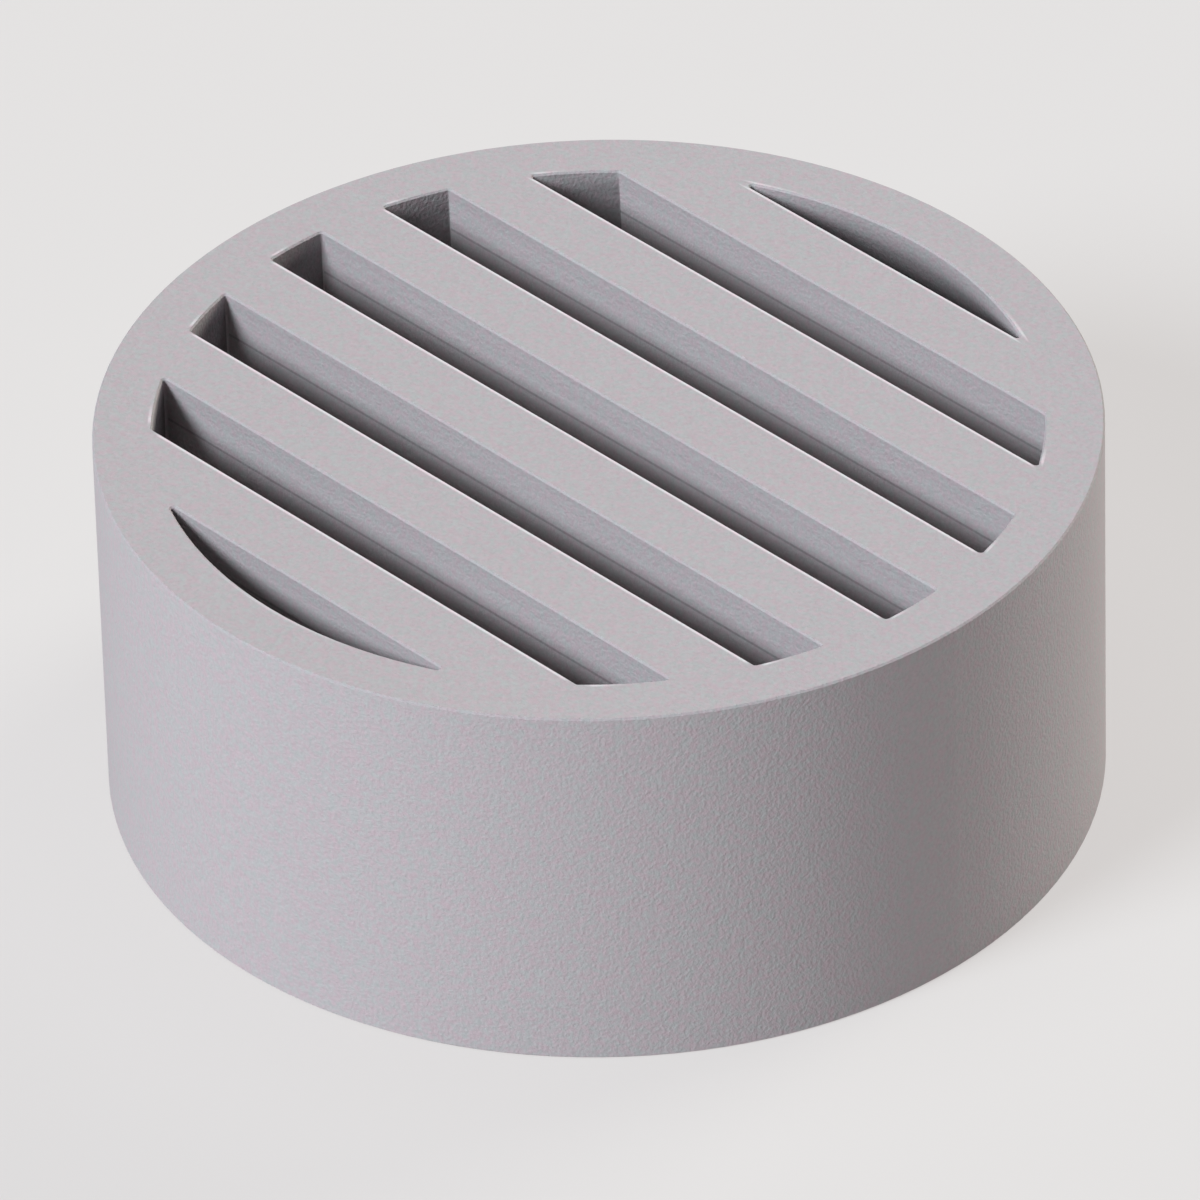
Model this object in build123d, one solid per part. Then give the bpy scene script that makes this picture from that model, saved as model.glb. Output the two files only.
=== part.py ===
from build123d import *
import math
import os

# Drain grate, moulded in one piece: a short round tube with a row of parallel bars across
# its mouth, flush with the rim. It stands on its open end, centred on the Z axis, and the
# bars run along X. Sizes are in millimetres and angles in degrees.

# Tube
outside_diameter = 110.0
height = 45.0
wall = 6.5
bore_draft = 0.5

# Bars and the openings between them, measured on the top face
bar_width = 8.15
slot_width = 7.5
bar_depth = 10.8
bar_draft = 1.0
smallest_opening = 2.0

# Finish of the edges: the outside ones are broken, the bars' lower ones and the inside
# corners at their roots are rounded
edge_break = 0.2
bar_round = 0.3
root_fillet = 0.3

# Worked out from the sizes above
outside_radius = outside_diameter / 2
bore_radius = outside_radius - wall
bar_bite = wall / 2
underside = height - bar_depth
pitch = bar_width + slot_width
bore_slope = math.tan(math.radians(bore_draft))
bar_slope = math.tan(math.radians(bar_draft))

# A slot lies on the centre line, so the bars come in pairs, one on each side of it. There
# are as many as leave a last opening of at least the smallest size beside the tube's wall.
outermost_reach = bore_radius - smallest_opening - bar_width / 2
bar_pairs = math.floor(outermost_reach / pitch + 0.5)
touching = 0.01


def bore_radius_at(z):
    """Radius of the bore at height z: its draft widens it towards the open end."""
    return bore_radius + (height - z) * bore_slope


def tube():
    """The tube, turned from the section of its wall, with the foot and the rim broken."""
    section = Polyline(
        (bore_radius_at(height), height),
        (outside_radius, height),
        (outside_radius, 0),
        (bore_radius_at(0), 0),
        close=True,
    )
    wall_face = make_face(Plane.XZ * section)
    inner_rim = wall_face.vertices().sort_by_distance((bore_radius, 0, height))[0]
    sharp = wall_face.vertices().filter_by(lambda vertex: vertex != inner_rim)
    return revolve(chamfer(sharp, edge_break), Axis.Z)


def bar(centre):
    """One bar at Y = centre, narrower below by its draft, its ends sunk into the wall."""
    half_top = bar_width / 2
    half_bottom = half_top - bar_depth * bar_slope
    section = Polyline(
        (centre - half_top, height),
        (centre + half_top, height),
        (centre + half_bottom, underside),
        (centre - half_bottom, underside),
        close=True,
    )
    bar_face = make_face(Plane.YZ * section)
    lower = bar_face.vertices().filter_by(lambda vertex: abs(vertex.Z - underside) < touching)
    blank = extrude(fillet(lower, bar_round), outside_radius, both=True)
    trim = Cylinder(bore_radius + bar_bite, height, align=(Align.CENTER, Align.CENTER, Align.MIN))
    return blank & trim


def grille():
    """All the bars, in pairs out from the slot on the centre line."""
    offsets = [(pair + 0.5) * pitch for pair in range(bar_pairs)]
    return [bar(side * offset) for offset in offsets for side in (-1, 1)]


def is_bar_root(edge):
    """True for an edge where a bar's side or underside meets the wall of the bore."""
    middle = edge @ 0.5
    in_bars = underside - touching < middle.Z < height - touching
    from_axis = math.hypot(middle.X, middle.Y)
    return in_bars and abs(from_axis - bore_radius_at(middle.Z)) < touching


def drain_grate():
    """Tube and bars as one solid, with the bars' roots filleted and the slots' rims broken."""
    body = tube() + grille()
    body = fillet(body.edges().filter_by(is_bar_root), root_fillet)
    top_face = body.faces().sort_by(Axis.Z)[-1]
    slot_rims = [edge for rim in top_face.inner_wires() for edge in rim.edges()]
    return chamfer(slot_rims, edge_break)


os.makedirs("parts", exist_ok=True)
export_step(drain_grate(), "parts/drain_grate.step")
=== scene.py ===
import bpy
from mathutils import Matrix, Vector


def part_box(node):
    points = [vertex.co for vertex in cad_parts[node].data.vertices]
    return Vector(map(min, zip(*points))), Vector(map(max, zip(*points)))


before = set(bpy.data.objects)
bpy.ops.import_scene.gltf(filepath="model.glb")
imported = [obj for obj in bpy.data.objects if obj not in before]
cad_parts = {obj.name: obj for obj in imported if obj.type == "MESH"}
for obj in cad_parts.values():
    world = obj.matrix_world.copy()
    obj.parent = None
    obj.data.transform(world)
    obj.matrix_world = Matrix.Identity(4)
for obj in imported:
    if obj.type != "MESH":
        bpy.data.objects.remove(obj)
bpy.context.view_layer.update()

import math

import bpy
import numpy as np
from bpy.props import FloatProperty, FloatVectorProperty, PointerProperty
from mathutils import Matrix, Vector

bl_info = {
    "name": "Drain grate",
    "version": (1, 0, 0),
    "blender": (4, 5, 0),
    "location": "View3D > Sidebar > Drain grate",
    "description": "Finishes the moulded drain grate and sets the studio round it",
    "category": "Object",
}

NODE = "drain_grate"

# Sizes of the grate that the marks on its surface follow, in metres
high_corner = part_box(NODE)[1]
OUTSIDE_RADIUS = high_corner.x
HEIGHT = high_corner.z
WALL = 0.0065
BORE_RADIUS = OUTSIDE_RADIUS - WALL
SLOT_SPACING = 0.01565
SLOT_HALF_WIDTH = 0.00375
BAR_DEPTH = 0.0108
EDGE_BREAK = 0.0002

# A face turns to an axis as its normal's part along it passes from the first number to the second
FACING_SIDEWAYS = (0.9, 0.98)
FACING_UP = (0.85, 0.95)

# How far green falls and blue falls for each part that red gains, where the plastic leans to pink
GREEN_LEAN = 0.75
BLUE_LEAN = 0.2

PVC_IOR = 1.53
WHITE = (1.0, 1.0, 1.0)


class GrateFinish(bpy.types.PropertyGroup):
    """Colour and surface of the moulded plastic."""

    colour: FloatVectorProperty(
        name="Colour",
        description="Colour of the plastic itself",
        subtype="COLOR",
        size=3,
        min=0.0,
        max=1.0,
        default=(0.428, 0.388, 0.406),
    )
    roughness: FloatProperty(
        name="Roughness",
        description="Roughness of the matte skin",
        subtype="FACTOR",
        min=0.0,
        max=1.0,
        default=0.7,
    )
    gloss: FloatProperty(
        name="Gloss",
        description="Strength of the skin's reflections",
        subtype="FACTOR",
        min=0.0,
        max=1.0,
        default=0.25,
    )
    tint_size: FloatProperty(
        name="Tint patch size",
        description="Size of the faint pink and green patches in the plastic",
        unit="LENGTH",
        default=0.0008,
    )
    tint: FloatProperty(
        name="Tint",
        description="How far the patches lean to pink or green",
        subtype="FACTOR",
        default=0.06,
    )
    grain_size: FloatProperty(
        name="Grain size",
        description="Size of the fine grain of the skin",
        unit="LENGTH",
        default=0.0004,
    )
    grain_shade: FloatProperty(
        name="Grain shade",
        description="How much lighter or darker a grain is",
        subtype="FACTOR",
        default=0.2,
    )
    grain_roughness: FloatProperty(
        name="Grain roughness",
        description="How much rougher or smoother a grain is",
        default=0.1,
    )
    grain_depth: FloatProperty(
        name="Grain depth",
        description="Height of the grain above the skin",
        unit="LENGTH",
        precision=6,
        default=0.00009,
    )
    drag_spacing: FloatProperty(
        name="Drag line spacing",
        description="Spacing of the lines along the sides of the slots",
        unit="LENGTH",
        default=0.0009,
    )
    drag_shade: FloatProperty(
        name="Drag line shade",
        description="How much lighter or darker a drag line is",
        subtype="FACTOR",
        default=0.15,
    )
    drag_depth: FloatProperty(
        name="Drag line depth",
        description="Depth of the lines along the sides of the slots",
        unit="LENGTH",
        precision=6,
        default=0.00003,
    )
    streak_width: FloatProperty(
        name="Streak width",
        description="Width of the faint upright streaks on the wall",
        unit="LENGTH",
        default=0.0003,
    )
    streak_depth: FloatProperty(
        name="Streak depth",
        description="Depth of the faint upright streaks on the wall",
        unit="LENGTH",
        precision=6,
        default=0.00001,
    )
    parting_depth: FloatProperty(
        name="Parting line depth",
        description="How far under the top face the mould's parting line runs along the sides of the bars",
        unit="LENGTH",
        default=0.0054,
    )
    parting_width: FloatProperty(
        name="Parting line width",
        description="Width of the parting line",
        unit="LENGTH",
        precision=5,
        default=0.0003,
    )
    parting_shade: FloatProperty(
        name="Parting line shade",
        description="How much darker the parting line is",
        subtype="FACTOR",
        default=0.3,
    )
    # Painted shade: the bars' sides are darkened as the recess of the slots
    side_shade: FloatProperty(
        name="Side shade",
        description="How much darker the sides of the bars are than the rest",
        subtype="FACTOR",
        default=0.05,
    )
    # Painted shade: the broken edges are darkened so that their slope catches the lights less brightly
    edge_painted_shade: FloatProperty(
        name="Broken edge shade",
        description="How much duller the broken edges are",
        subtype="FACTOR",
        default=0.05,
    )
    rim_width: FloatProperty(
        name="Slot rim line width",
        description="Width of the line painted pale beside each slot's -Y edge, as in the photograph",
        unit="LENGTH",
        precision=5,
        default=0.0003,
    )
    # Painted highlight: a pale line along each slot's -Y rim
    rim_highlight: FloatProperty(
        name="Slot rim line light",
        description="How much lighter that line is painted, partly for the photograph's sharpening",
        subtype="FACTOR",
        default=0.55,
    )
    end_shade: FloatProperty(
        name="Slot end shade",
        description="How much darker the slots' ends are painted, for the deep shadow in the photograph",
        subtype="FACTOR",
        default=0.5,
    )
    end_depth: FloatProperty(
        name="Slot end depth",
        description="How far under the top face the slots' ends are as dark as they get",
        unit="LENGTH",
        default=0.003,
    )


class GrateStage(bpy.types.PropertyGroup):
    """Floor, backdrop, lights and camera."""

    floor_colour: FloatVectorProperty(
        name="Floor colour",
        description="Colour of the lit table that the grate stands on",
        subtype="COLOR",
        size=3,
        min=0.0,
        max=1.0,
        default=(0.2, 0.2, 0.2),
    )
    floor_glow: FloatProperty(
        name="Floor glow",
        description="Brightness of the table's own even light",
        default=0.54,
    )
    glow_colour: FloatVectorProperty(
        name="Glow colour",
        description="Colour of the table's own light, a little warm",
        subtype="COLOR",
        size=3,
        min=0.0,
        max=1.0,
        default=(1.0, 0.96, 0.95),
    )
    # Painted shade: a darker disc under the grate stands in for the shade inside the tube
    shade_card_glow: FloatProperty(
        name="Card glow",
        description="Brightness of the darker disc in the table under the grate, seen through the slots",
        default=0.11,
    )
    shade_card_radius: FloatProperty(
        name="Card radius",
        description="Radius of that disc, whose edge the tube's wall hides",
        unit="LENGTH",
        default=OUTSIDE_RADIUS - 0.0015,
    )
    floor_radius: FloatProperty(
        name="Floor radius",
        description="Radius of the round table",
        unit="LENGTH",
        default=12.0,
    )
    backdrop_glow: FloatProperty(
        name="Backdrop",
        description="Brightness of the pale backdrop, which shows but sheds no light",
        default=0.8,
    )
    key_azimuth: FloatProperty(
        name="Key light azimuth",
        description="Way round the grate to the key light: nought is -Y, and a right angle is +X",
        subtype="ANGLE",
        default=math.radians(-7),
    )
    key_elevation: FloatProperty(
        name="Key light elevation",
        description="Angle of the key light above the floor",
        subtype="ANGLE",
        default=math.radians(35),
    )
    key_spread: FloatProperty(
        name="Key light spread",
        description="Angle across the key light, seen from the grate",
        subtype="ANGLE",
        default=math.radians(22),
    )
    key_strength: FloatProperty(
        name="Key light strength",
        description="Brightness that the key light gives a white surface that faces it",
        default=1.155,
    )
    key_colour: FloatVectorProperty(
        name="Key light colour",
        description="Colour of the key light, a little cool",
        subtype="COLOR",
        size=3,
        min=0.0,
        max=1.0,
        default=(0.88, 0.95, 1.0),
    )
    rim_azimuth: FloatProperty(
        name="Rim light azimuth",
        description="Way round the grate to the low light behind it",
        subtype="ANGLE",
        default=math.radians(176),
    )
    rim_elevation: FloatProperty(
        name="Rim light elevation",
        description="Angle of the rim light above the floor",
        subtype="ANGLE",
        default=math.radians(20),
    )
    rim_spread: FloatProperty(
        name="Rim light spread",
        description="Angle across the rim light, seen from the grate",
        subtype="ANGLE",
        default=math.radians(30),
    )
    rim_strength: FloatProperty(
        name="Rim light strength",
        description="Brightness that the rim light gives a white surface that faces it",
        default=0.74,
    )
    rim_colour: FloatVectorProperty(
        name="Rim light colour",
        description="Colour of the rim light, a little warm",
        subtype="COLOR",
        size=3,
        min=0.0,
        max=1.0,
        default=(1.0, 0.99, 0.88),
    )
    top_spread: FloatProperty(
        name="Top light spread",
        description="Angle across the light overhead, seen from the grate",
        subtype="ANGLE",
        default=math.radians(50),
    )
    top_strength: FloatProperty(
        name="Top light strength",
        description="Brightness that the light overhead gives a white surface that faces it",
        default=0.34,
    )
    camera_azimuth: FloatProperty(
        name="Camera azimuth",
        description="Way round the grate to the camera: nought looks along +Y, and a right angle along -X",
        subtype="ANGLE",
        default=math.radians(47.24),
    )
    camera_elevation: FloatProperty(
        name="Camera elevation",
        description="Angle of the camera above the floor",
        subtype="ANGLE",
        default=math.radians(35.63),
    )
    camera_roll: FloatProperty(
        name="Camera roll",
        description="Turn of the camera about its own line of sight",
        subtype="ANGLE",
        default=math.radians(-1.51),
    )
    camera_distance: FloatProperty(
        name="Camera distance",
        description="Distance from the camera to the middle of the rim",
        unit="LENGTH",
        default=1.6412,
    )
    camera_drop: FloatProperty(
        name="Aim below the rim",
        description="How far under the middle of the rim the camera aims, square to its line of sight",
        unit="LENGTH",
        default=0.0194,
    )
    camera_side: FloatProperty(
        name="Camera side step",
        description="How far the camera stands to the right of the line to the rim's middle",
        unit="LENGTH",
        precision=5,
        default=0.00018,
    )
    camera_lens: FloatProperty(
        name="Lens",
        description="Focal length of the lens, in millimetres",
        default=453.4,
    )


class Value:
    """A number that varies over a surface. It wraps a socket, and sums on it add Math nodes."""

    def __init__(self, surface, socket):
        self.surface = surface
        self.socket = socket

    def maths(self, operation, *terms):
        """The result of one Math node on these terms."""
        node = self.surface.add("ShaderNodeMath", {"operation": operation}, dict(enumerate(terms)))
        return Value(self.surface, node.outputs[0])

    def __add__(self, other):
        return self.maths("ADD", self, other)

    def __radd__(self, other):
        return self.maths("ADD", other, self)

    def __sub__(self, other):
        return self.maths("SUBTRACT", self, other)

    def __rsub__(self, other):
        return self.maths("SUBTRACT", other, self)

    def __mul__(self, other):
        return self.maths("MULTIPLY", self, other)

    def __rmul__(self, other):
        return self.maths("MULTIPLY", other, self)

    def __pow__(self, other):
        return self.maths("POWER", self, other)

    def __abs__(self):
        return self.maths("ABSOLUTE", self)

    def at_least(self, other):
        """The greater of the two."""
        return self.maths("MAXIMUM", self, other)

    def repeated(self, length):
        """The number taken round and round a length with 0 in its middle."""
        return self.maths("WRAP", self, length / 2, -length / 2)


class Surface:
    """A material's nodes."""

    def __init__(self, name):
        self.material = bpy.data.materials.new(name)
        self.material.use_nodes = True
        self.tree = self.material.node_tree
        self.tree.nodes.clear()

    def add(self, kind, settings=None, sockets=None):
        """Adds a node. Its settings are set first, then each socket gets its value or its link."""
        node = self.tree.nodes.new(kind)
        for name, setting in (settings or {}).items():
            setattr(node, name, setting)
        for key, value in (sockets or {}).items():
            if isinstance(value, Value):
                self.tree.links.new(value.socket, node.inputs[key])
            elif isinstance(value, bpy.types.NodeSocket):
                self.tree.links.new(value, node.inputs[key])
            else:
                node.inputs[key].default_value = value
        return node

    def split(self, vector):
        """The three parts of a vector, each as a number."""
        node = self.add("ShaderNodeSeparateXYZ", sockets={0: vector})
        return [Value(self, socket) for socket in node.outputs]

    def rise(self, value, low, high):
        """0 below low, 1 above high, and a smooth step between them."""
        sockets = {"Value": value, "From Min": low, "From Max": high}
        node = self.add("ShaderNodeMapRange", {"interpolation_type": "SMOOTHSTEP"}, sockets)
        return Value(self, node.outputs[0])

    def stretched(self, place, scale):
        """The place, scaled apart along X, Y and Z."""
        return self.add("ShaderNodeMapping", sockets={"Vector": place, "Scale": scale}).outputs[0]

    def noise(self, place, size, seed):
        """Noise about 0, roughly from -0.5 to 0.5, with patches about as wide as size."""
        moved = self.add("ShaderNodeMapping", sockets={"Vector": place, "Location": (seed, seed, seed)})
        sockets = {"Vector": moved.outputs[0], "Scale": 1 / size, "Detail": 1.0, "Roughness": 0.5}
        return Value(self, self.add("ShaderNodeTexNoise", sockets=sockets).outputs[0]) - 0.5

    def mix(self, factor, first, second):
        """The first colour where factor is 0, the second where it is 1."""
        node = self.add("ShaderNodeMix", {"data_type": "RGBA"}, {0: factor, 6: first, 7: second})
        return node.outputs[2]

    def brighten(self, colour, factor):
        """The colour times a number."""
        node = self.add("ShaderNodeVectorMath", {"operation": "SCALE"}, {0: colour, "Scale": factor})
        return node.outputs[0]


class GrateSurface(Surface):
    """The grate's surface, with masks that are 1 on some part of it and 0 elsewhere."""

    def __init__(self, name):
        super().__init__(name)
        coordinates = self.add("ShaderNodeTexCoord")
        self.place = coordinates.outputs["Object"]
        self.x, self.y, self.z = self.split(self.place)
        self.facing_x, self.facing_y, self.facing_z = self.split(coordinates.outputs["Normal"])
        self.radius = (self.x * self.x + self.y * self.y) ** 0.5

    def broken_edges(self):
        """The edges, whose faces lie half way between level and upright."""
        half_way = math.sqrt(0.5)
        still_edge, past_edge = 0.05, 0.25
        return 1 - self.rise(abs(abs(self.facing_z) - half_way), still_edge, past_edge)

    def outside_wall(self):
        """The outside of the tube."""
        return self.rise(self.radius, OUTSIDE_RADIUS - 3 * EDGE_BREAK, OUTSIDE_RADIUS - 2 * EDGE_BREAK)

    def bar_sides(self):
        """The upright sides of the bars, which face +Y or -Y."""
        return self.rise(abs(self.facing_y), *FACING_SIDEWAYS) * (1 - self.outside_wall())

    def parting_line(self, depth, width):
        """A soft line along the sides of the bars, this far under the top face."""
        away = abs(self.z - (HEIGHT - depth))
        return (1 - self.rise(away, 0.3 * width, 0.8 * width)) * self.bar_sides()

    def slot_rims(self, width):
        """A soft line on the top face beside each slot's -Y edge, where a painted highlight goes. It fades at
        the slot's corners and ends.
        """
        fade_start, fade_end = 0.0005, 0.0015
        across = self.y.repeated(SLOT_SPACING)
        past_side = abs(across) - (SLOT_HALF_WIDTH + EDGE_BREAK)
        past_end = self.radius - (BORE_RADIUS + EDGE_BREAK)
        line = 1 - self.rise(past_side.at_least(past_end), 0.7 * width, 1.3 * width)
        off_corner = self.rise(abs(past_side - past_end), fade_start, fade_end)
        near_side = 1 - self.rise(across, -SLOT_HALF_WIDTH, 0)
        return line * off_corner * near_side * self.rise(self.facing_z, *FACING_UP)

    def slot_ends(self, depth):
        """The bore's wall between the bars, from this far under the top face, where the slots' ends get
        painted shadow.
        """
        outward = self.x * self.facing_x + self.y * self.facing_y
        faces_axis, past_axis = -0.8 * OUTSIDE_RADIUS, -0.7 * OUTSIDE_RADIUS
        bore = 1 - self.rise(outward, faces_axis, past_axis)
        above_underside = self.rise(self.z, HEIGHT - 1.5 * BAR_DEPTH, HEIGHT - BAR_DEPTH)
        return bore * above_underside * (1 - self.rise(self.z, HEIGHT - depth, HEIGHT))


def leaning(colour, tint):
    """The colour moved towards pink by tint, or towards green where tint is negative."""
    red, green, blue = colour
    return (red * (1 + tint), green * (1 - GREEN_LEAN * tint), blue * (1 - BLUE_LEAN * tint), 1.0)


def moulded_plastic(finish):
    """Matte light grey plastic with a fine grain, drag lines, and slots shaded as in the photograph."""
    surface = GrateSurface("moulded_plastic")
    bar_sides = surface.bar_sides()

    # Drag lines are drawn out fifty times along the bars, and streaks about seven times up the wall
    tint = surface.noise(surface.place, finish.tint_size, seed=3.0)
    grain = surface.noise(surface.place, finish.grain_size, seed=5.0)
    along_bars = surface.stretched(surface.place, (0.02, 0.02, 1.0))
    drag = surface.noise(along_bars, finish.drag_spacing, seed=11.0)
    upright = surface.stretched(surface.place, (1.0, 1.0, 0.15))
    streak = surface.noise(upright, finish.streak_width, seed=13.0)

    # side_shade is painted shade on the bars' sides; the grain and drag lines are the plastic's own marks
    shade = 1 + grain * finish.grain_shade + (drag * finish.drag_shade - finish.side_shade) * bar_sides
    shade = shade - surface.parting_line(finish.parting_depth, finish.parting_width) * finish.parting_shade
    # Painted shade on the broken edges
    shade = shade - surface.broken_edges() * finish.edge_painted_shade
    # Painted shadow: the slots' ends are darkened deep down, where the bars and the bore cast shade
    shade = shade - surface.slot_ends(finish.end_depth) * finish.end_shade
    # Painted highlight along each slot's -Y rim
    shade = shade + surface.slot_rims(finish.rim_width) * finish.rim_highlight

    tint_reach = 0.3
    pinkness = surface.rise(tint, -tint_reach, tint_reach)
    colour = surface.mix(pinkness, leaning(finish.colour, -finish.tint), leaning(finish.colour, finish.tint))

    relief = grain * finish.grain_depth + drag * bar_sides * finish.drag_depth
    relief = relief + streak * surface.outside_wall() * finish.streak_depth
    bump = surface.add("ShaderNodeBump", sockets={"Strength": 1.0, "Distance": 1.0, "Height": relief})
    shader = surface.add(
        "ShaderNodeBsdfPrincipled",
        sockets={
            "Base Color": surface.brighten(colour, shade),
            "Roughness": finish.roughness + grain * finish.grain_roughness,
            "IOR": PVC_IOR,
            "Specular IOR Level": finish.gloss,
            "Normal": bump.outputs[0],
        },
    )
    surface.add("ShaderNodeOutputMaterial", sockets={"Surface": shader.outputs[0]})
    return surface.material


def lit_table(name, stage, glow):
    """A plain matte table top that glows evenly, so that shadows on it stay faint."""
    surface = Surface(name)
    matte = surface.add("ShaderNodeBsdfDiffuse", sockets={"Color": (*stage.floor_colour, 1.0)})
    light = surface.add("ShaderNodeEmission", sockets={"Color": (*stage.glow_colour, 1.0), "Strength": glow})
    both = surface.add("ShaderNodeAddShader", sockets={0: matte.outputs[0], 1: light.outputs[0]})
    surface.add("ShaderNodeOutputMaterial", sockets={"Surface": both.outputs[0]})
    return surface.material


def direction(azimuth, elevation):
    """Unit vector towards a place round the grate: azimuth 0 is -Y, and a right angle is +X."""
    flat = math.cos(elevation)
    return Vector((math.sin(azimuth) * flat, -math.cos(azimuth) * flat, math.sin(elevation)))


def far_softbox(name, azimuth, elevation, spread, strength, colour):
    """A large soft light, so far off that its light falls the same way everywhere."""
    lamp = bpy.data.lights.new(name, "SUN")
    lamp.angle = spread
    lamp.energy = strength * math.pi
    lamp.color = colour
    box = bpy.data.objects.new(name, lamp)
    box.rotation_mode = "QUATERNION"
    box.rotation_quaternion = direction(azimuth, elevation).to_track_quat("Z", "Y")
    bpy.context.scene.collection.objects.link(box)


def set_lights(stage):
    """The key light at the camera's left, a low rim light behind at its right, and a light overhead."""
    far_softbox(
        "key", stage.key_azimuth, stage.key_elevation, stage.key_spread, stage.key_strength, stage.key_colour
    )
    far_softbox(
        "rim", stage.rim_azimuth, stage.rim_elevation, stage.rim_spread, stage.rim_strength, stage.rim_colour
    )
    far_softbox("top", 0.0, math.pi / 2, stage.top_spread, stage.top_strength, WHITE)


def ring(radius, corners):
    """Corners evenly spaced round a circle in the floor's plane."""
    turn = np.linspace(0, 2 * np.pi, corners, endpoint=False)
    return np.stack([np.cos(turn), np.sin(turn), np.zeros(corners)], axis=1) * radius


def set_floor(stage):
    """A round table top, in the plane that the grate stands on, with a darker disc inside the grate: painted
    shade for the hollow under the bars.
    """
    corners = 96
    inner = np.arange(corners)
    following = np.roll(inner, -1)
    round_card = np.stack([inner, inner + corners, following + corners, following], axis=1)
    mesh = bpy.data.meshes.new("floor")
    places = np.vstack([ring(stage.shade_card_radius, corners), ring(stage.floor_radius, corners)])
    mesh.from_pydata(places.tolist(), [], [inner.tolist()] + round_card.tolist())
    # The darker card inside the grate is painted shade for the hollow under the bars
    mesh.materials.append(lit_table("card", stage, stage.shade_card_glow))
    mesh.materials.append(lit_table("table", stage, stage.floor_glow))
    mesh.polygons.foreach_set("material_index", [0] + [1] * corners)
    floor = bpy.data.objects.new("floor", mesh)
    bpy.context.scene.collection.objects.link(floor)


def set_backdrop(stage):
    """A plain pale backdrop all round. It shows behind the grate, but sheds no light on it."""
    world = bpy.data.worlds.new("backdrop")
    world.use_nodes = True
    background = world.node_tree.nodes["Background"]
    background.inputs["Color"].default_value = (*WHITE, 1.0)
    background.inputs["Strength"].default_value = stage.backdrop_glow
    world.cycles_visibility.diffuse = False
    world.cycles_visibility.glossy = False
    bpy.context.scene.world = world


def set_camera(stage):
    """The camera, at the photograph's angle. Its roll turns it about its own line of sight."""
    back = direction(stage.camera_azimuth, stage.camera_elevation)
    level = Vector((math.cos(stage.camera_azimuth), math.sin(stage.camera_azimuth), 0))
    upward = back.cross(level)
    roll = stage.camera_roll
    right = level * math.cos(roll) + upward * math.sin(roll)
    up = upward * math.cos(roll) - level * math.sin(roll)
    lens = bpy.data.cameras.new("camera")
    lens.lens = stage.camera_lens
    lens.sensor_width = 36.0
    camera = bpy.data.objects.new("camera", lens)
    middle_of_rim = Vector((0, 0, HEIGHT))
    place = middle_of_rim + back * stage.camera_distance + right * stage.camera_side - up * stage.camera_drop
    camera.matrix_world = Matrix.Translation(place) @ Matrix((right, up, back)).transposed().to_4x4()
    bpy.context.scene.collection.objects.link(camera)
    bpy.context.scene.camera = camera


class DRAINGRATE_OT_finish(bpy.types.Operator):
    """Give the moulded grate its plastic."""

    bl_idname = "drain_grate.finish"
    bl_label = "Finish the grate"

    def execute(self, context):
        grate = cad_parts[NODE]
        grate.data.materials.clear()
        grate.data.materials.append(moulded_plastic(context.scene.grate_finish))
        return {"FINISHED"}


class DRAINGRATE_OT_stage(bpy.types.Operator):
    """Set the floor, the lights and the camera."""

    bl_idname = "drain_grate.stage"
    bl_label = "Set the stage"

    def execute(self, context):
        stage = context.scene.grate_stage
        set_floor(stage)
        set_backdrop(stage)
        set_lights(stage)
        set_camera(stage)
        context.scene.view_settings.view_transform = "Standard"
        return {"FINISHED"}


class DRAINGRATE_PT_panel(bpy.types.Panel):
    """Lists the sizes, colours and other settings of the grate's finish and of the stage, each with its
    button.
    """

    bl_idname = "DRAINGRATE_PT_panel"
    bl_label = "Drain grate"
    bl_space_type = "VIEW_3D"
    bl_region_type = "UI"
    bl_category = "Drain grate"

    def draw(self, context):
        for group, operator in ((context.scene.grate_finish, "finish"), (context.scene.grate_stage, "stage")):
            box = self.layout.box()
            for name in group.bl_rna.properties.keys():
                if name not in ("rna_type", "name"):
                    box.prop(group, name)
            box.operator("drain_grate." + operator)


CLASSES = (GrateFinish, GrateStage, DRAINGRATE_OT_finish, DRAINGRATE_OT_stage, DRAINGRATE_PT_panel)


def register():
    for each in CLASSES:
        bpy.utils.register_class(each)
    bpy.types.Scene.grate_finish = PointerProperty(type=GrateFinish)
    bpy.types.Scene.grate_stage = PointerProperty(type=GrateStage)


def unregister():
    del bpy.types.Scene.grate_stage
    del bpy.types.Scene.grate_finish
    for each in reversed(CLASSES):
        bpy.utils.unregister_class(each)


def main():
    register()
    bpy.ops.drain_grate.finish()
    bpy.ops.drain_grate.stage()


if __name__ == "__main__":
    main()
